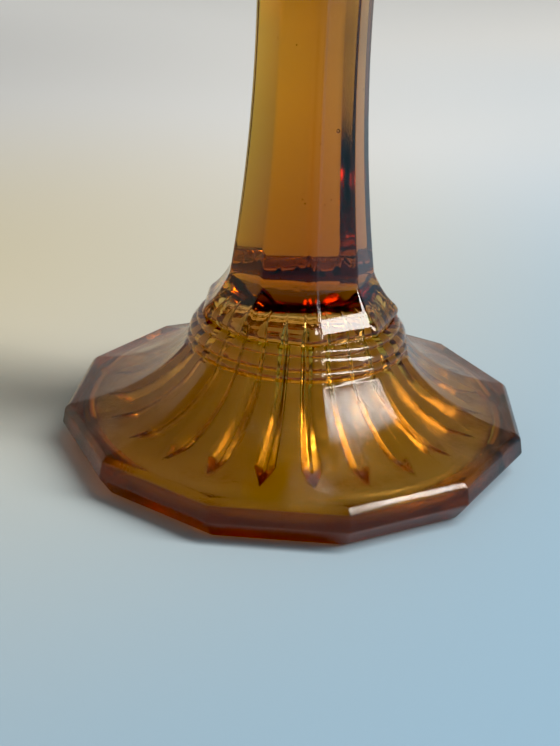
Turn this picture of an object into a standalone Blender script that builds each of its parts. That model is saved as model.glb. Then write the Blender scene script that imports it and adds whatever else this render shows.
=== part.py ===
"""Pressed glass candlestick holding a short household candle.

The glass is one pressing: a twelve-sided foot that is hollow underneath, a ringed collar, a
nine-sided stem and a candle cup. The candle is a wax rod with its wick, and it lifts out.
Metres, +Z up. The origin is the centre of the foot, on the surface that the foot stands on,
and one corner of every faceted section points along -Y.
"""
import math

import bmesh
import bpy

MM = 0.001

# Driving dimensions in millimetres. Radii of faceted sections are measured to the corners.
FOOT_SIDES = 12
STEM_SIDES = 9
FOOT_CONTACT_RADIUS = 56.6
FOOT_RIDGE_RADIUS = 60.0
FOOT_RIDGE_HEIGHT = 5.6
FOOT_RIM_RADIUS = 58.8
FOOT_RIM_HEIGHT = 10.0
COLLAR_RADIUS = 29.0
COLLAR_BOTTOM = 25.8
SHOULDER_RADIUS = 24.3
SHOULDER_HEIGHT = 36.6
STEM_FOOT_RADIUS = 18.3
STEM_FOOT_HEIGHT = 45.0
WAIST_RADIUS = 13.45
WAIST_HEIGHT = 107.0
STEM_TOP_RADIUS = 15.4
STEM_TOP_HEIGHT = 152.0
CUP_FOOT_RADIUS = 15.0
CUP_FOOT_HEIGHT = 169.5
CUP_RADIUS = 18.4
CUP_HEIGHT = 199.0
TOTAL_HEIGHT = 205.0
SOCKET_FLOOR_RADIUS = 11.4
SOCKET_MOUTH_RADIUS = 11.8
SOCKET_FLOOR_HEIGHT = 178.5
MOUTH_CHAMFER = 1.4
HOLLOW_RADIUS = 53.0
RAY_TIP_RADIUS = 47.5
RAY_TIP_HEIGHT = 7.4
HOLLOW_THROAT_RADIUS = 20.6
HOLLOW_THROAT_HEIGHT = 32.5
HOLLOW_TOP = 40.5
RAY_COUNT = 24
RAY_PHASE = math.radians(-6.0)
RAY_HALF_WIDTH = 1.8
RAY_DEPTH = 1.7
RAY_LEAN = (0.6, 0.8)
CUTTER_MARGIN = 0.5
CANDLE_RADIUS = 11.0
CANDLE_TOP_RADIUS = 10.7
CANDLE_LENGTH = 75.0
CANDLE_SEAT_GAP = 0.4
WICK_CHANNEL_RADIUS = 1.25
WICK_RADIUS = 0.85
WICK_EXPOSED = 9.0

OUTER_COLUMNS = 36
ROUND_COLUMNS = 48


def material(name, color, roughness, transmission=0.0):
    """A Principled material with one colour, for the part's plain display."""
    result = bpy.data.materials.new(name)
    result.use_nodes = True
    shader = result.node_tree.nodes["Principled BSDF"]
    shader.inputs["Base Color"].default_value = (*color, 1.0)
    shader.inputs["Roughness"].default_value = roughness
    shader.inputs["Metallic"].default_value = 0.0
    shader.inputs["Transmission Weight"].default_value = transmission
    return result


def sweep(start, control, end, steps):
    """Points after start on the quadratic curve from start to end that leans on control."""
    points = []
    for step in range(1, steps + 1):
        t = step / steps
        weights = ((1 - t) ** 2, 2 * t * (1 - t), t * t)
        points.append(tuple(sum(w * p[axis] for w, p in zip(weights, (start, control, end)))
                            for axis in (0, 1)))
    return points


def facet_scale(angle, sides):
    """Radius of a regular polygon at an angle from a corner, with the corner radius as 1."""
    half = math.pi / sides
    return math.cos(half) / math.cos(angle % (2 * half) - half)


def faceted(profile, sides):
    """Rings (radius, height, sides) from a list of (radius, height)."""
    return [(radius, height, sides) for radius, height in profile]


def ring_points(radius, height, sides, angles):
    """World points of one ring. Angle 0 points along -Y, and sides None makes it round."""
    points = []
    for angle in angles:
        scale = facet_scale(angle, sides) if sides else 1.0
        points.append((radius * scale * math.sin(angle) * MM,
                       -radius * scale * math.cos(angle) * MM, height * MM))
    return points


def loft(name, rings, smooth_angle=None):
    """A closed solid through rings of points, given from top to bottom."""
    mesh_builder = bmesh.new()
    loops = [[mesh_builder.verts.new(point) for point in ring] for ring in rings]
    count = len(rings[0])
    for upper, lower in zip(loops, loops[1:]):
        for index in range(count):
            after = (index + 1) % count
            mesh_builder.faces.new((upper[index], lower[index], lower[after], upper[after]))
    mesh_builder.faces.new(loops[0])
    mesh_builder.faces.new(reversed(loops[-1]))
    bmesh.ops.recalc_face_normals(mesh_builder, faces=mesh_builder.faces)
    mesh = bpy.data.meshes.new(name)
    mesh_builder.to_mesh(mesh)
    mesh_builder.free()
    if smooth_angle is not None:
        mesh.shade_smooth()
        mesh.set_sharp_from_angle(angle=smooth_angle)
    result = bpy.data.objects.new(name, mesh)
    bpy.context.scene.collection.objects.link(result)
    return result


def cutter(result):
    """Mark an object as a tool that shapes another one."""
    result.hide_render = True
    result.display_type = "WIRE"
    return result


def subtract(target, tool):
    """Cut the tool's shape out of the target."""
    modifier = target.modifiers.new(tool.name, "BOOLEAN")
    modifier.operation = "DIFFERENCE"
    modifier.object = tool
    modifier.solver = "EXACT"


def outer_rings():
    """Outside of the glass, from the lip of the cup down to the foot."""
    lip = [(18.4, TOTAL_HEIGHT), (19.4, 204.6), (19.8, 203.4), (19.5, 201.6)]
    cup = [(CUP_RADIUS, CUP_HEIGHT)]
    cup += sweep((CUP_RADIUS, CUP_HEIGHT), (16.4, 186.0), (CUP_FOOT_RADIUS, CUP_FOOT_HEIGHT), 4)
    upper_collar = [(15.3, 168.2), (17.5, 167.2), (18.6, 166.4), (18.9, 165.4), (18.5, 164.9),
                    (19.2, 164.4), (19.6, 163.4), (19.3, 162.4), (18.0, 161.8)]
    upper_shoulder = [(18.7, 161.0), (18.8, 160.0), (18.1, 158.6)]
    stem = sweep((18.1, 158.6), (16.1, 156.6), (STEM_TOP_RADIUS, STEM_TOP_HEIGHT), 3)
    stem += sweep(stem[-1], (WAIST_RADIUS, 134.0), (WAIST_RADIUS, WAIST_HEIGHT), 4)
    stem += sweep(stem[-1], (WAIST_RADIUS, 76.6), (STEM_FOOT_RADIUS, STEM_FOOT_HEIGHT), 6)
    stem += sweep(stem[-1], (20.9, 39.3), (SHOULDER_RADIUS, SHOULDER_HEIGHT), 5)
    shoulder = [(25.0, 35.6), (25.2, 34.7), (24.9, 34.0)]
    collar = [(24.6, 33.6), (25.6, 33.5), (26.5, 32.7), (26.8, 31.9), (26.7, 31.6),
              (27.5, 31.0), (28.4, 29.6), (28.5, 28.7), (28.3, 28.3), (28.9, 27.9),
              (29.1, 26.9), (28.8, 26.1)]
    panels = [(COLLAR_RADIUS, COLLAR_BOTTOM)]
    panels += sweep(panels[0], (38.2, 13.8), (58.2, 10.5), 8)
    rim = [(FOOT_RIM_RADIUS, FOOT_RIM_HEIGHT), (FOOT_RIDGE_RADIUS, FOOT_RIDGE_HEIGHT),
           (FOOT_CONTACT_RADIUS, 0.0)]
    return (faceted(lip + cup, STEM_SIDES) + faceted(upper_collar, FOOT_SIDES)
            + faceted(upper_shoulder + stem + shoulder, STEM_SIDES)
            + faceted(collar + panels + rim, FOOT_SIDES))


def hollow_profile():
    """Radius, height and ray strength (0 to 1) of the hollow, from its top to below the foot."""
    dome = [(1.0, HOLLOW_TOP)]
    dome += sweep((1.0, HOLLOW_TOP), (19.8, HOLLOW_TOP),
                  (HOLLOW_THROAT_RADIUS, HOLLOW_THROAT_HEIGHT), 5)
    profile = [(radius, height, 0.0) for radius, height in dome]
    rays = sweep(dome[-1], (25.0, 12.0), (RAY_TIP_RADIUS, RAY_TIP_HEIGHT), 10)
    for step, (radius, height) in enumerate(rays, start=1):
        taper = min(1.0, 0.6 * step, 0.7 * (len(rays) - step))
        profile.append((radius, height, taper))
    skirt = [(51.0, 6.4), (52.4, 4.6), (HOLLOW_RADIUS, 0.0), (HOLLOW_RADIUS, -2.0)]
    return profile + [(radius, height, 0.0) for radius, height in skirt]


def hollow_ring(radius, height, strength):
    """One ring of the hollow, where each ray is a rib of glass that leans in and down."""
    points = []
    pitch = 2 * math.pi / RAY_COUNT
    half_width = min(RAY_HALF_WIDTH / radius, pitch / 3)
    depth = strength * RAY_DEPTH
    across = ((-half_width, 0.0), (0.0, depth), (half_width, 0.0), (pitch / 2, 0.0))
    for ray in range(RAY_COUNT):
        for offset, rise in across:
            angle = RAY_PHASE + ray * pitch + offset
            points += ring_points(radius - RAY_LEAN[0] * rise, height - RAY_LEAN[1] * rise,
                                  None, [angle])
    return points


def build_glass():
    """The one glass pressing: outside form, hollow foot with its rays, and candle socket."""
    columns = [2 * math.pi * index / OUTER_COLUMNS for index in range(OUTER_COLUMNS)]
    rings = [ring_points(*ring, columns) for ring in outer_rings()]
    glass = loft("glass_body", rings)
    plunger = cutter(loft("hollow_plunger", [hollow_ring(*ring) for ring in hollow_profile()]))
    socket_profile = [(SOCKET_MOUTH_RADIUS + MOUTH_CHAMFER + CUTTER_MARGIN,
                       TOTAL_HEIGHT + CUTTER_MARGIN),
                      (SOCKET_MOUTH_RADIUS, TOTAL_HEIGHT - MOUTH_CHAMFER),
                      (SOCKET_FLOOR_RADIUS, SOCKET_FLOOR_HEIGHT)]
    turns = [2 * math.pi * index / ROUND_COLUMNS for index in range(ROUND_COLUMNS)]
    pin = cutter(loft("socket_pin", [ring_points(*ring, None, turns) for ring in socket_profile]))
    subtract(glass, plunger)
    subtract(glass, pin)
    glass.data.materials.append(material("amber_glass", (0.72, 0.36, 0.05), 0.05, 1.0))


def build_candle():
    """The wax rod with its through channel, and the wick in it, which lift out together."""
    axis = bpy.data.objects.new("candle_axis", None)
    axis.location = (0.0, 0.0, (SOCKET_FLOOR_HEIGHT + CANDLE_SEAT_GAP) * MM)
    bpy.context.scene.collection.objects.link(axis)
    turns = [2 * math.pi * index / ROUND_COLUMNS for index in range(ROUND_COLUMNS)]
    shoulder = [(2.6, -0.5), (8.4, 0.0), (10.1, -0.7), (CANDLE_TOP_RADIUS, -2.2)]
    foot = [(CANDLE_RADIUS, 1.0), (CANDLE_RADIUS - 0.9, 0.0)]
    profile = [(radius, CANDLE_LENGTH + drop) for radius, drop in shoulder] + foot
    wax = loft("candle_wax", [ring_points(*ring, None, turns) for ring in profile],
               math.radians(40))
    wax.parent = axis
    channel_profile = [(WICK_CHANNEL_RADIUS, CANDLE_LENGTH + CUTTER_MARGIN),
                       (WICK_CHANNEL_RADIUS, -CUTTER_MARGIN)]
    channel = cutter(loft("wick_channel", [ring_points(*ring, None, turns[::4])
                                           for ring in channel_profile]))
    channel.parent = axis
    subtract(wax, channel)
    wax.data.materials.append(material("ivory_wax", (0.86, 0.80, 0.66), 0.45))

    curve = bpy.data.curves.new("candle_wick", "CURVE")
    curve.dimensions = "3D"
    curve.bevel_depth = WICK_RADIUS * MM
    curve.bevel_resolution = 2
    curve.use_fill_caps = True
    spline = curve.splines.new("POLY")
    bend = [(0.0, 0.0)] + sweep((0.0, 0.0), (0.1, WICK_EXPOSED * 0.55), (1.6, WICK_EXPOSED), 4)
    route = [(0.0, 0.6)] + [(lean, CANDLE_LENGTH + rise) for lean, rise in bend]
    spline.points.add(len(route) - 1)
    for point, (lean, height) in zip(spline.points, route):
        point.co = (lean * MM, 0.0, height * MM, 1.0)
    wick = bpy.data.objects.new("candle_wick", curve)
    bpy.context.scene.collection.objects.link(wick)
    wick.parent = axis
    curve.materials.append(material("cotton_wick", (0.80, 0.77, 0.70), 0.9))


def main():
    for old in list(bpy.data.objects):
        bpy.data.objects.remove(old, do_unlink=True)
    build_glass()
    build_candle()


main()
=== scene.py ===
"""Looks of the pressed glass candlestick and its candle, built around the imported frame.

Metres in the scene; the profiles below are in millimetres, radius first and then height, and
the shape functions turn them into metres. +Z is up and the mould seam faces -Y.
"""
import math

import bmesh
import bpy
from mathutils import Matrix, Vector, noise


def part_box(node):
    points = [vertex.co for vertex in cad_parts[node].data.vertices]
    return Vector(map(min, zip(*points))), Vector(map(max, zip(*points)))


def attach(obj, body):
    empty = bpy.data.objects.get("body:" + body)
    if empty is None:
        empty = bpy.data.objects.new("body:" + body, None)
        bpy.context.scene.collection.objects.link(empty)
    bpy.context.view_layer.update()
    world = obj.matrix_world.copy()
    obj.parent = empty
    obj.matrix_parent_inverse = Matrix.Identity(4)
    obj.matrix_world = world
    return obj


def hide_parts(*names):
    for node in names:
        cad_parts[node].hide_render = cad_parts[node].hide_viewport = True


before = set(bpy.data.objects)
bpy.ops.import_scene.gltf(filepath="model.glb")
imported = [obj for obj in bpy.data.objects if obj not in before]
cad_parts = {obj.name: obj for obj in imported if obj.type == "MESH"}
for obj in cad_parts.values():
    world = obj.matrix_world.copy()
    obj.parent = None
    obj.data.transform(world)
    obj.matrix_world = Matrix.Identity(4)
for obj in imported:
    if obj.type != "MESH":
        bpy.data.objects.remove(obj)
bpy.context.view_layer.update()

MM = 0.001

# Outer surface: millimetres, the number of sides, and a corner fillet for each stretch.
GLASS_TOP = 205.0
SOCKET_FLOOR = 178.5
FOOT_SIDES = 12
STEM_SIDES = 9
RIM_FILLET = 0.7
PANEL_FILLET = 1.4
COLLAR_FILLET = 27.0
STEM_FILLET = 1.6
CUP_FILLET = 2.0
ROUNDEST = 0.98  # a fillet's largest share of the apothem
STEM_TURN = math.radians(-3.4)
SEAM_HALF_WIDTH = 0.4
SEAM_HEIGHT = 0.2
SEAM_SPAN = (6.0, 200.0)

# Columns of the outside: places in each of 36 sectors, crowded towards the sector's ends,
# because the foot's corners lie on those.
CORNER_SECTORS = 36
CORNER_STEPS = (0.0, 0.033, 0.07, 0.12, 0.2, 0.33, 0.5, 0.67, 0.8, 0.88, 0.93, 0.967)

# Rays of the underside: ribs shaped like lances, one in each sector. They grow out of the dome
# between two heights, start at a share of their full size, and taper to a point past the bend.
SECTORS = 24
SECTOR = 2 * math.pi / SECTORS
RAY_PHASE = math.radians(-6.0)
RAY_RISE = (38.0, 32.5)
RAY_SHARE = 0.6
RAY_TIP = 47.4
RAY_BEND = 41.5
RAY_START = 20.6
RAY_WIDTH = 2.5
RAY_DEPTH = 2.9
RAY_COLUMNS = (-1.06, -0.94, -0.62, -0.32, -0.07, 0.07, 0.32, 0.62, 0.94, 1.06)
GAP_COLUMNS = 8
LEAST_RAY_WIDTH = 0.3
MOST_OF_SECTOR = 0.3

# Skin, as waves of a pitch and a height: faint on the fire-polished foot and stem, rougher on
# the underside, which a plunger pressed, and soft on the candle. Below OUTER_FLAT and
# INNER_FLAT there are none, so the contact ring is level. FOOT_TOP parts foot and stem.
FOOT_WAVES = ((9.0, 0.03),)
STEM_WAVES = ((22.0, 0.03),)
PLUNGER_WAVES = ((8.0, 0.34), (3.0, 0.07))
WAX_WAVES = ((9.0, 0.10),)
OUTER_FLAT = 0.5
INNER_FLAT = 3.0
FOOT_TOP = 42.0

# Bubbles: (angle from the seam in degrees, radius from the axis, height, bubble radius).
BUBBLES = ((21.0, 11.9, 81.5, 0.5), (-14.0, 12.6, 66.0, 0.17), (-11.0, 12.2, 65.0, 0.20),
           (8.0, 12.0, 64.6, 0.15), (15.0, 12.4, 65.8, 0.17), (2.0, 11.8, 78.8, 0.16),
           (-30.0, 11.0, 100.0, 0.17), (-52.0, 10.4, 101.0, 0.15), (140.0, 10.0, 88.0, 0.25),
           (200.0, 11.0, 120.0, 0.2), (75.0, 9.5, 131.0, 0.22))

# The view: degrees and metres, with the lens and the sensor in millimetres.
VIEW_TURN = 11.94
VIEW_ELEVATION = 24.226
VIEW_ROLL = 2.514
VIEW_DISTANCE = 0.2798
VIEW_SIDE = -0.00403
VIEW_HEIGHT = 0.01604
LENS = 51.764
SENSOR_WIDTH = 36.0

# Floor in metres, with painted light and shade: cool light in front and neutral behind, along
# a slanted line, and soft patches of painted light and shade (middle, reach, amount, tone).
FLOOR_HEIGHT = -0.0003
FLOOR_SLANT = 0.65
NEAR_PAINTED_COOL_LIGHT = (0.262, 0.418, 0.54)
FAR_COLOR = (0.665, 0.65, 0.615)
COOL_EDGES = (-0.10, 0.29)
# Painted light and shade, in order: a warm pool of light at the left, shade far back at the
# left, cool light at the right, and a bluish shadow in front at the left.
PAINTED_LIGHT_AND_SHADE = (((-0.15, 0.15), 0.38, 1.0, (0.54, 0.475, 0.325)),
           ((-0.36, 0.60), 0.62, 0.65, (0.36, 0.35, 0.33)),
           ((0.50, 0.40), 0.50, 0.85, (0.50, 0.56, 0.60)),
           ((-0.30, -0.20), 0.40, 0.50, (0.20, 0.28, 0.34)))

# Amber of the glass: absorption for each metre, painted shade that deepens the amber of the
# foot and darkens its rim to red-brown, and where those begin and end, in metres.
GLASS_COLOR = (0.884, 0.703, 0.05)
GLASS_DENSITY = 200.0
CLEAR = (1.0, 1.0, 1.0)
FOOT_PAINTED_SHADE = (1.0, 0.79, 0.60)
RIM_PAINTED_SHADE = (0.30, 0.06, 0.02)
FOOT_PAINTED_SHADE_HEIGHTS = (0.034, 0.044)
RIM_PAINTED_SHADE_HEIGHTS = (0.0090, 0.0097)
RIM_PAINTED_SHADE_RADII = (0.0521, 0.0526)

# Skin of the glass: fine pits, faint on the stem and stronger on the worn foot, in patches.
PIT_SCALE = 2400.0
PIT_DEPTH = 0.00014
FAINT_PITS = 0.03
WORN_PITS = 0.6
WORN_RADII = (0.027, 0.032)
PATCH_SCALE = 80.0
PATCH_EDGES = (0.40, 0.60)
BETWEEN_PATCHES = 0.25

# Darker and lighter tones of the wax and the wick, and the room's own dim light.
WAX_TONES = ((0.80, 0.70, 0.50), (0.90, 0.83, 0.68))
WICK_TONES = ((0.62, 0.55, 0.42), (0.86, 0.82, 0.72))
ROOM_COLOR = (0.88, 0.94, 1.0)
ROOM_STRENGTH = 0.25
BLACK_LEVEL = (0.009, 0.010, 0.013)


# Shapes

def sweep(start, control, end, steps):
    """Points after start on the quadratic curve from start to end that leans on control."""
    points = []
    for step in range(1, steps + 1):
        t = step / steps
        weights = ((1 - t) ** 2, 2 * t * (1 - t), t * t)
        points.append(tuple(sum(w * p[axis] for w, p in zip(weights, (start, control, end)))
                            for axis in (0, 1)))
    return points


def smooth(profile, passes=2):
    """Cut a profile's corners (Chaikin), keeping its ends."""
    for _ in range(passes):
        cut = [profile[0]]
        for first, second in zip(profile, profile[1:]):
            cut.append(tuple(0.75 * a + 0.25 * b for a, b in zip(first, second)))
            cut.append(tuple(0.25 * a + 0.75 * b for a, b in zip(first, second)))
        cut.append(profile[-1])
        profile = cut
    return profile


def rounded_polygon(angle, sides, fillet):
    """Radius of a polygon with filleted corners; angle is from a corner, corner radius is 1."""
    half = math.pi / sides
    apothem = math.cos(half)
    fillet = min(fillet, apothem * ROUNDEST)
    away = abs((angle + half) % (2 * half) - half)
    centre = (apothem - fillet) / math.cos(half)
    tangent = math.atan2(fillet * math.sin(half), centre + fillet * math.cos(half))
    if away >= tangent:
        return apothem / math.cos(half - away)
    return centre * math.cos(away) + math.sqrt(fillet ** 2 - (centre * math.sin(away)) ** 2)


def corner_gain(sides, fillet):
    """What a polygon is scaled by so that its filleted corners reach the radius given."""
    return 1.0 / rounded_polygon(0.0, sides, fillet)


def at(radius, height, angle):
    """The point in metres; the angle is from the seam, towards +X."""
    return Vector((radius * math.sin(angle), -radius * math.cos(angle), height)) * MM


def waviness(point, waves):
    """Height of the waves at a point, in millimetres."""
    return sum(size * noise.noise(point / (pitch * MM)) for pitch, size in waves)


def seam(radius, angle):
    """Height of the mould seam, a fine ridge down the front."""
    away = abs((angle + math.pi) % (2 * math.pi) - math.pi) * radius
    return SEAM_HEIGHT * max(0.0, 1.0 - (away / SEAM_HALF_WIDTH) ** 2)


def outer_profile():
    """(radius, height, sides, fillet) from the contact ring up to the lip."""
    rim = smooth([(55.8, 0.0), (56.5, 0.15), (57.2, 1.0), (59.8, 5.0), (60.0, 5.6),
                  (59.8, 6.4), (59.35, 8.9), (59.2, 9.3), (58.9, 9.7), (58.2, 10.3),
                  (57.8, 10.55), (57.3, 10.65)])
    panels = sweep(rim[-1], (38.2, 13.9), (29.0, 25.7), 40)
    collar = smooth([panels[-1], (28.7, 26.0), (28.85, 26.3), (29.15, 27.0), (29.0, 27.9),
                     (28.45, 28.35), (28.2, 28.5), (28.5, 28.8), (28.55, 29.5), (27.9, 30.8),
                     (27.0, 31.5), (26.55, 31.7), (26.8, 32.0), (26.5, 32.8), (25.6, 33.4),
                     (24.6, 33.6)])
    shoulder = smooth([(24.2, 33.65), (24.7, 33.9), (25.2, 34.7), (25.1, 35.6), (24.3, 36.7)])
    flare = sweep(shoulder[-1], (20.9, 39.3), (18.3, 45.0), 16)
    stem = sweep(flare[-1], (13.45, 76.6), (13.45, 107.0), 24)
    stem += sweep(stem[-1], (13.45, 134.0), (15.4, 152.0), 16)
    stem += sweep(stem[-1], (16.1, 156.6), (18.1, 158.6), 8)
    crown = smooth([stem[-1], (18.8, 160.0), (18.7, 161.0), (18.2, 161.6)])
    ring = smooth([(18.0, 161.8), (19.3, 162.4), (19.6, 163.4), (19.2, 164.4), (18.5, 164.9),
                   (18.9, 165.4), (18.6, 166.4), (17.5, 167.2), (15.3, 168.2)])
    cup = [(15.0, 169.5)]
    cup += sweep(cup[0], (16.4, 186.0), (18.4, 199.0), 16)
    lip = smooth([cup[-1], (19.5, 201.6), (19.8, 203.4), (19.4, 204.6), (18.4, GLASS_TOP)])
    rows = [(r, z, FOOT_SIDES, RIM_FILLET) for r, z in rim]
    rows += [(r, z, FOOT_SIDES, PANEL_FILLET) for r, z in panels]
    rows += [(r, z, FOOT_SIDES, COLLAR_FILLET) for r, z in collar[1:]]
    rows += [(r, z, STEM_SIDES, STEM_FILLET) for r, z in shoulder + flare + stem + crown[1:]]
    rows += [(r, z, FOOT_SIDES, COLLAR_FILLET) for r, z in ring]
    rows += [(r, z, STEM_SIDES, CUP_FILLET) for r, z in cup + lip[1:]]
    return rows


def socket_profile():
    """(radius, height) from the lip's flat top down to the socket's floor."""
    mouth = smooth([(16.6, GLASS_TOP), (13.2, GLASS_TOP), (12.2, 204.3), (11.8, 203.0)])
    return mouth + [(11.6, 192.0), (11.4, 179.4), (11.0, 178.7), (10.0, SOCKET_FLOOR),
                    (5.0, SOCKET_FLOOR), (1.0, SOCKET_FLOOR)]


def ray_strength(radius):
    """Share of a ray's full width and depth: it narrows to the centre and ends in a point."""
    if radius > RAY_BEND:
        return max(0.0, (RAY_TIP - radius) / (RAY_TIP - RAY_BEND))
    return RAY_SHARE + (1.0 - RAY_SHARE) * (radius - RAY_START) / (RAY_BEND - RAY_START)


def hollow_profile():
    """(radius, height, ray strength) from the top of the hollow to the contact ring."""
    top, foot = RAY_RISE
    dome = [(0.6, 40.5)]
    dome += sweep(dome[0], (19.8, 40.5), (RAY_START, foot), 14)
    slope = sweep(dome[-1], (25.0, 12.0), (48.0, 7.3), 60)
    skirt = smooth([slope[-1], (51.2, 6.5), (52.3, 5.2), (52.6, 3.6), (52.8, 0.4),
                    (53.0, 0.0)])
    rows = [(r, z, RAY_SHARE * max(0.0, (top - z) / (top - foot))) for r, z in dome]
    rows += [(r, z, ray_strength(r)) for r, z in slope]
    return rows + [(r, z, 0.0) for r, z in skirt[1:]]


def plunged(radius, height, angle):
    """A point of the underside, moved a little by the plunger's rough skin."""
    point = at(radius, height, angle)
    if height > INNER_FLAT:
        point.z += waviness(point, PLUNGER_WAVES) * MM
    return point


def hollow_rings():
    """Rings of the underside: each sector has a ray, raised square to the slope, and a gap."""
    rings = []
    profile = hollow_profile()
    for index, (radius, height, strength) in enumerate(profile):
        before = profile[max(0, index - 1)]
        after = profile[min(len(profile) - 1, index + 1)]
        run, fall = after[0] - before[0], before[1] - after[1]
        length = math.hypot(run, fall)
        width = max(RAY_WIDTH * strength, LEAST_RAY_WIDTH)
        spread = min(width / radius, MOST_OF_SECTOR * SECTOR)
        ring = []
        for sector in range(1, SECTORS + 1):
            middle = RAY_PHASE + sector * SECTOR
            for column in RAY_COLUMNS:
                depth = RAY_DEPTH * strength * max(0.0, 1.0 - abs(column))
                ring.append(plunged(radius - depth * fall / length,
                                    height - depth * run / length, middle + column * spread))
            start = RAY_COLUMNS[-1] * spread
            gap = SECTOR - 2 * start
            for step in range(1, GAP_COLUMNS + 1):
                ring.append(plunged(radius, height,
                                    middle + start + gap * step / (GAP_COLUMNS + 1)))
        rings.append(ring)
    return rings


def outer_rings():
    """Rings of the outside, from the contact ring to the lip, and then of the socket."""
    rings = []
    angles = [2 * math.pi / CORNER_SECTORS * (sector + step)
              for sector in range(CORNER_SECTORS) for step in CORNER_STEPS]
    for radius, height, sides, fillet in outer_profile():
        share = fillet / radius
        gain, turn = 1.0, 0.0
        if sides == STEM_SIDES:
            gain, turn = corner_gain(sides, share), STEM_TURN
        ring = []
        for angle in angles:
            reach = radius * gain * rounded_polygon(angle - turn, sides, share)
            if height > OUTER_FLAT:
                waves = FOOT_WAVES if height < FOOT_TOP else STEM_WAVES
                reach += waviness(at(reach, height, angle), waves)
            if SEAM_SPAN[0] < height < SEAM_SPAN[1]:
                reach += seam(reach, angle)
            ring.append(at(reach, height, angle))
        rings.append(ring)
    for radius, height in socket_profile():
        rings.append([at(radius, height, angle) for angle in angles])
    return rings


def bridge(builder, loops):
    """Faces between each loop of points and the next."""
    count = len(loops[0])
    for lower, upper in zip(loops, loops[1:]):
        for index in range(count):
            after = (index + 1) % count
            builder.faces.new((lower[index], upper[index], upper[after], lower[after]))


def add_rings(builder, rings, first, last):
    """Join equal rings into one closed surface, with a centre point at each end."""
    loops = [[builder.verts.new(point) for point in ring] for ring in rings]
    start, end = builder.verts.new(first), builder.verts.new(last)
    count = len(rings[0])
    for index in range(count):
        after = (index + 1) % count
        builder.faces.new((start, loops[0][index], loops[0][after]))
        builder.faces.new((end, loops[-1][after], loops[-1][index]))
    bridge(builder, loops)


def new_piece(name, builder, material):
    """A smooth-shaded object of the builder's shape, in the scene."""
    mesh = bpy.data.meshes.new(name)
    builder.to_mesh(mesh)
    builder.free()
    mesh.shade_smooth()
    mesh.materials.append(material)
    piece = bpy.data.objects.new(name, mesh)
    bpy.context.scene.collection.objects.link(piece)
    return piece


def build_glass(material):
    """The whole pressing: underside with its rays, outside, socket, and a few bubbles."""
    builder = bmesh.new()
    underside = hollow_rings()
    add_rings(builder, underside + outer_rings(), Vector((0, 0, underside[0][0].z)),
              Vector((0, 0, SOCKET_FLOOR)) * MM)
    bmesh.ops.recalc_face_normals(builder, faces=builder.faces)
    for degrees, radius, height, size in BUBBLES:
        place = Matrix.Translation(at(radius, height, math.radians(degrees)))
        made = bmesh.ops.create_icosphere(builder, subdivisions=2, radius=size * MM,
                                          matrix=place)
        faces = {face for vertex in made["verts"] for face in vertex.link_faces}
        bmesh.ops.reverse_faces(builder, faces=list(faces))
    glass = new_piece("pressed_glass", builder, material)
    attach(glass, "candlestick")
    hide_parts("glass_body")


# Candle and wick

def build_wax(material):
    """Candle with a soft shoulder, a shallow dish at the wick and a slightly uneven skin."""
    low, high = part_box("candle_wax")
    radius, bottom, top = high.x / MM, low.z / MM, high.z / MM
    edge, shoulder = bottom + 1.4, top - 3.0
    taper, inset, dish = 0.3, 0.06, 4.0
    rows, turns = 24, 96
    outline = smooth([(1.3, bottom), (radius - 1.2, bottom), (radius - 0.2, bottom + 0.4),
                      (radius, edge)])
    outline += [(radius - taper * row / rows, edge + (shoulder - edge) * row / rows)
                for row in range(1, rows + 1)]
    outline += smooth([(radius - taper, shoulder), (radius - 0.45, top - 1.0),
                       (radius - 1.5, top - 0.1), (radius - 3.0, top - 0.1), (5.6, top - 0.9),
                       (3.0, top - 1.7), (1.5, top - 2.0), (1.25, top - 2.6)])[1:]
    outline += [(1.25, bottom + 2.0)]
    builder = bmesh.new()
    loops = []
    for reach, height in outline:
        loop = []
        for turn in range(turns):
            angle = 2 * math.pi * turn / turns
            skin = waviness(at(reach, height, angle), WAX_WAVES) if reach > dish else 0.0
            loop.append(builder.verts.new(at(reach - inset + skin, height, angle)))
        loops.append(loop)
    bridge(builder, loops + loops[:1])
    bmesh.ops.recalc_face_normals(builder, faces=builder.faces)
    wax = new_piece("candle", builder, material)
    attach(wax, "candle")
    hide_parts("candle_wax")


def build_wick(material):
    """Three cotton strands twisted round one line that leans over at the top."""
    low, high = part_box("candle_wick")
    thickness = high.y - low.y
    lean = (high.x - thickness / 2) - (low.x + thickness / 2)
    wax_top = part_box("candle_wax")[1].z
    strand = thickness * 0.26
    offset = thickness * 0.23
    blunt = strand * 0.4
    strands, steps, sides, pitch = 3, 90, 10, 0.0042
    start, length = low.z + blunt, high.z - low.z - 4 * blunt
    builder = bmesh.new()
    for number in range(strands):
        rings = []
        for step in range(steps + 1):
            z = start + length * step / steps
            bend = max(0.0, (z - wax_top) / (high.z - wax_top))
            turn = 2 * math.pi * (number / strands + (z - low.z) / pitch)
            centre = Vector((lean * bend ** 2, 0.0, z))
            centre += Vector((math.cos(turn), math.sin(turn), 0.0)) * offset
            rings.append([centre + Vector((math.cos(a), math.sin(a), 0.0)) * strand
                          for a in (2 * math.pi * side / sides for side in range(sides))])
        ends = [sum(ring, Vector()) / sides for ring in (rings[0], rings[-1])]
        add_rings(builder, rings, ends[0] - Vector((0, 0, blunt)),
                  ends[1] + Vector((0, 0, strand / 2)))
    bmesh.ops.recalc_face_normals(builder, faces=builder.faces)
    wick = new_piece("wick", builder, material)
    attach(wick, "candle")
    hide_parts("candle_wick")


# Materials

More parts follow.
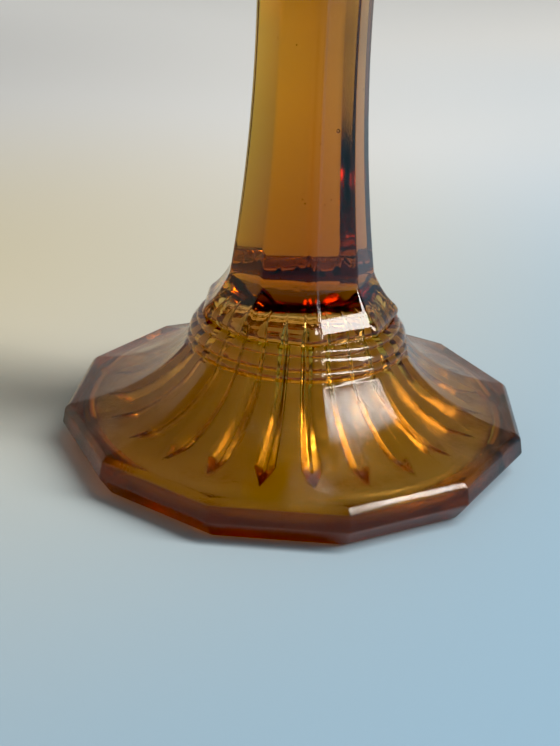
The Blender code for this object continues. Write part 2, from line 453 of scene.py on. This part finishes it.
class Nodes:
    """A material's node tree with short calls for the few node kinds used here."""

    def __init__(self, name):
        self.material = bpy.data.materials.new(name)
        self.material.use_nodes = True
        self.tree = self.material.node_tree
        self.shader = self.tree.nodes["Principled BSDF"]

    def feed(self, socket, value):
        """Link a socket to another, or set it to a colour or a number."""
        if isinstance(value, bpy.types.NodeSocket):
            self.tree.links.new(value, socket)
        elif isinstance(value, tuple):
            socket.default_value = (*value, 1.0)
        else:
            socket.default_value = value

    def maths(self, operation, *values):
        node = self.tree.nodes.new("ShaderNodeMath")
        node.operation = operation
        for socket, value in zip(node.inputs, values):
            self.feed(socket, value)
        return node.outputs[0]

    def length(self, across, along):
        """Distance from its two parts, which are square to each other."""
        squares = [self.maths("MULTIPLY", side, side) for side in (across, along)]
        return self.maths("SQRT", self.maths("ADD", *squares))

    def mix(self, factor, first, second):
        """A colour between two: the first where the factor is 0."""
        node = self.tree.nodes.new("ShaderNodeMix")
        node.data_type = "RGBA"
        for name, value in (("Factor_Float", factor), ("A_Color", first), ("B_Color", second)):
            self.feed(next(s for s in node.inputs if s.identifier == name), value)
        return next(s for s in node.outputs if s.identifier == "Result_Color")

    def step(self, value, low, high):
        """A soft step from 0 at low to 1 at high."""
        node = self.tree.nodes.new("ShaderNodeMapRange")
        node.interpolation_type = "SMOOTHSTEP"
        for name, item in (("Value", value), ("From Min", low), ("From Max", high)):
            self.feed(node.inputs[name], item)
        return node.outputs["Result"]

    def place(self):
        """Object-space X, Y and Z."""
        split = self.tree.nodes.new("ShaderNodeSeparateXYZ")
        coordinates = self.tree.nodes.new("ShaderNodeTexCoord")
        self.feed(split.inputs[0], coordinates.outputs["Object"])
        return split.outputs["X"], split.outputs["Y"], split.outputs["Z"]

    def noise(self, scale, detail=2.0):
        """Soft noise from 0 to 1 that is fixed to the object."""
        node = self.tree.nodes.new("ShaderNodeTexNoise")
        coordinates = self.tree.nodes.new("ShaderNodeTexCoord")
        self.feed(node.inputs["Vector"], coordinates.outputs["Object"])
        self.feed(node.inputs["Scale"], scale)
        self.feed(node.inputs["Detail"], detail)
        return node.outputs[0]

    def bump(self, height, strength, distance):
        """Roughen the shader's normal; a height of 1 stands for the distance in metres."""
        node = self.tree.nodes.new("ShaderNodeBump")
        self.feed(node.inputs["Height"], height)
        self.feed(node.inputs["Strength"], strength)
        self.feed(node.inputs["Distance"], distance)
        self.feed(self.shader.inputs["Normal"], node.outputs[0])

    def shade(self, **values):
        """Set or link the shader's own sockets."""
        for name, value in values.items():
            self.feed(self.shader.inputs[name.replace("_", " ")], value)


def amber_glass():
    """Clear amber: absorption inside, painted shade deepening the foot and its rim, faint
    pitting on the skin.
    """
    nodes = Nodes("amber_glass")
    x, y, z = nodes.place()
    radius = nodes.length(x, y)
    # Painted shade: the foot below the stem turns a deeper amber.
    foot = nodes.maths("SUBTRACT", 1.0, nodes.step(z, *FOOT_PAINTED_SHADE_HEIGHTS))
    # Painted shade: the low outer rim of the foot turns dark red-brown.
    low = nodes.maths("SUBTRACT", 1.0, nodes.step(z, *RIM_PAINTED_SHADE_HEIGHTS))
    rim = nodes.maths("MULTIPLY", nodes.step(radius, *RIM_PAINTED_SHADE_RADII), low)
    color = nodes.mix(rim, nodes.mix(foot, CLEAR, FOOT_PAINTED_SHADE), RIM_PAINTED_SHADE)
    nodes.shade(Base_Color=color, Transmission_Weight=1.0, Roughness=0.02, IOR=1.5)
    pits = nodes.maths("POWER", nodes.noise(PIT_SCALE), 2.0)
    patches = nodes.step(nodes.noise(PATCH_SCALE), *PATCH_EDGES)
    patches = nodes.maths("ADD", BETWEEN_PATCHES, patches)
    worn = nodes.maths("MULTIPLY", nodes.step(radius, *WORN_RADII), patches)
    strength = nodes.maths("ADD", FAINT_PITS, nodes.maths("MULTIPLY", worn, WORN_PITS))
    nodes.bump(pits, strength, PIT_DEPTH)
    absorption = nodes.tree.nodes.new("ShaderNodeVolumeAbsorption")
    absorption.inputs["Color"].default_value = (*GLASS_COLOR, 1.0)
    absorption.inputs["Density"].default_value = GLASS_DENSITY
    output = nodes.tree.nodes["Material Output"]
    nodes.tree.links.new(absorption.outputs[0], output.inputs["Volume"])
    return nodes.material


def ivory_wax():
    """Clouded wax that lets a little light in, with a finely uneven skin."""
    nodes = Nodes("ivory_wax")
    clouds = nodes.noise(140.0, detail=4.0)
    nodes.shade(Base_Color=nodes.mix(clouds, *WAX_TONES), Roughness=0.42,
                Subsurface_Weight=0.35, Subsurface_Scale=0.004)
    nodes.bump(nodes.noise(600.0, detail=3.0), strength=0.12, distance=0.0004)
    return nodes.material


def cotton_wick():
    """Matte, fibrous cotton."""
    nodes = Nodes("cotton_wick")
    fibres = nodes.noise(4000.0, detail=3.0)
    nodes.shade(Base_Color=nodes.mix(fibres, *WICK_TONES), Roughness=0.9, Sheen_Weight=0.3)
    nodes.bump(fibres, strength=0.5, distance=0.0002)
    return nodes.material


def painted_light_floor():
    """Pale matte paper, with painted light and shade: cool in front, neutral behind, soft
    patches.
    """
    nodes = Nodes("painted_light_floor")
    x, y, _ = nodes.place()
    # Painted light: cool in front, fading to neutral behind along a slanted line.
    behind = nodes.maths("SUBTRACT", y, nodes.maths("MULTIPLY", x, FLOOR_SLANT))
    color = nodes.mix(nodes.step(behind, *COOL_EDGES), NEAR_PAINTED_COOL_LIGHT, FAR_COLOR)
    # Painted light and shade: soft pools of warm and cool light, and patches of shade.
    for (middle_x, middle_y), reach, amount, tone in PAINTED_LIGHT_AND_SHADE:
        aside = nodes.maths("SUBTRACT", x, middle_x)
        along = nodes.maths("SUBTRACT", y, middle_y)
        share = nodes.maths("SUBTRACT", 1.0, nodes.step(nodes.length(aside, along), 0.0, reach))
        color = nodes.mix(nodes.maths("MULTIPLY", share, amount), color, tone)
    nodes.shade(Base_Color=color, Roughness=0.7, Specular_IOR_Level=0.2)
    return nodes.material


# Stage, light and camera

def build_stage():
    """A flat floor that curves up into a low wall all round."""
    rows = [(0.4, FLOOR_HEIGHT), (0.9, FLOOR_HEIGHT), (1.5, FLOOR_HEIGHT), (1.9, 0.05),
            (2.3, 0.25), (2.6, 0.6), (2.75, 1.1), (2.8, 1.6)]
    turns = 96
    angles = [2 * math.pi * turn / turns for turn in range(turns)]
    builder = bmesh.new()
    loops = [[builder.verts.new((radius * math.sin(angle), -radius * math.cos(angle), height))
              for angle in angles] for radius, height in rows]
    centre = builder.verts.new((0.0, 0.0, FLOOR_HEIGHT))
    for index in range(turns):
        builder.faces.new((centre, loops[0][index], loops[0][(index + 1) % turns]))
    bridge(builder, loops)
    new_piece("studio_sweep", builder, painted_light_floor())


def area_light(name, azimuth, elevation, distance, size, power, color):
    """A rectangular light aimed just above the foot; azimuth 0 is -Y and 90 is +X."""
    target = Vector((0.0, 0.0, 0.05))
    light = bpy.data.lights.new(name, "AREA")
    light.shape = "RECTANGLE"
    light.size, light.size_y = size
    light.energy = power
    light.color = color
    lamp = bpy.data.objects.new(name, light)
    turn, rise = math.radians(azimuth), math.radians(elevation)
    lamp.location = Vector((math.sin(turn) * math.cos(rise), -math.cos(turn) * math.cos(rise),
                            math.sin(rise))) * distance
    lamp.rotation_euler = (lamp.location - target).to_track_quat("Z", "Y").to_euler()
    bpy.context.scene.collection.objects.link(lamp)


def build_light():
    """One tall window at the right, and a dim, even, slightly blue room."""
    area_light("window", azimuth=67.0, elevation=49.0, distance=2.6, size=(0.70, 2.9),
               power=102.0, color=(1.0, 0.985, 0.97))
    world = bpy.data.worlds.new("soft_room")
    bpy.context.scene.world = world
    world.use_nodes = True
    background = world.node_tree.nodes["Background"]
    background.inputs["Color"].default_value = (*ROOM_COLOR, 1.0)
    background.inputs["Strength"].default_value = ROOM_STRENGTH


def build_camera():
    """A camera turned, raised and rolled to the photograph's viewing angle."""
    turn, rise, roll = (math.radians(v) for v in (VIEW_TURN, VIEW_ELEVATION, VIEW_ROLL))
    back = Vector((-math.sin(turn) * math.cos(rise), -math.cos(turn) * math.cos(rise),
                   math.sin(rise)))
    right = Vector((math.cos(turn), -math.sin(turn), 0.0))
    up = back.cross(right)
    tilted_right = math.cos(roll) * right + math.sin(roll) * up
    tilted_up = math.cos(roll) * up - math.sin(roll) * right
    place = VIEW_SIDE * right + Vector((0.0, 0.0, VIEW_HEIGHT)) + VIEW_DISTANCE * back
    data = bpy.data.cameras.new("camera")
    data.lens = LENS
    data.sensor_width = SENSOR_WIDTH
    data.clip_start = 0.01
    camera = bpy.data.objects.new("camera", data)
    axes = Matrix((tilted_right, tilted_up, back)).transposed().to_4x4()
    camera.matrix_world = Matrix.Translation(place) @ axes
    bpy.context.scene.collection.objects.link(camera)
    bpy.context.scene.camera = camera


def set_tones():
    """Plain display with slightly deeper blacks, like a camera's."""
    view = bpy.context.scene.view_settings
    view.view_transform = "Standard"
    view.use_curve_mapping = True
    view.curve_mapping.black_level = BLACK_LEVEL


build_camera()
build_light()
build_stage()
set_tones()
build_glass(amber_glass())
build_wax(ivory_wax())
build_wick(cotton_wick())
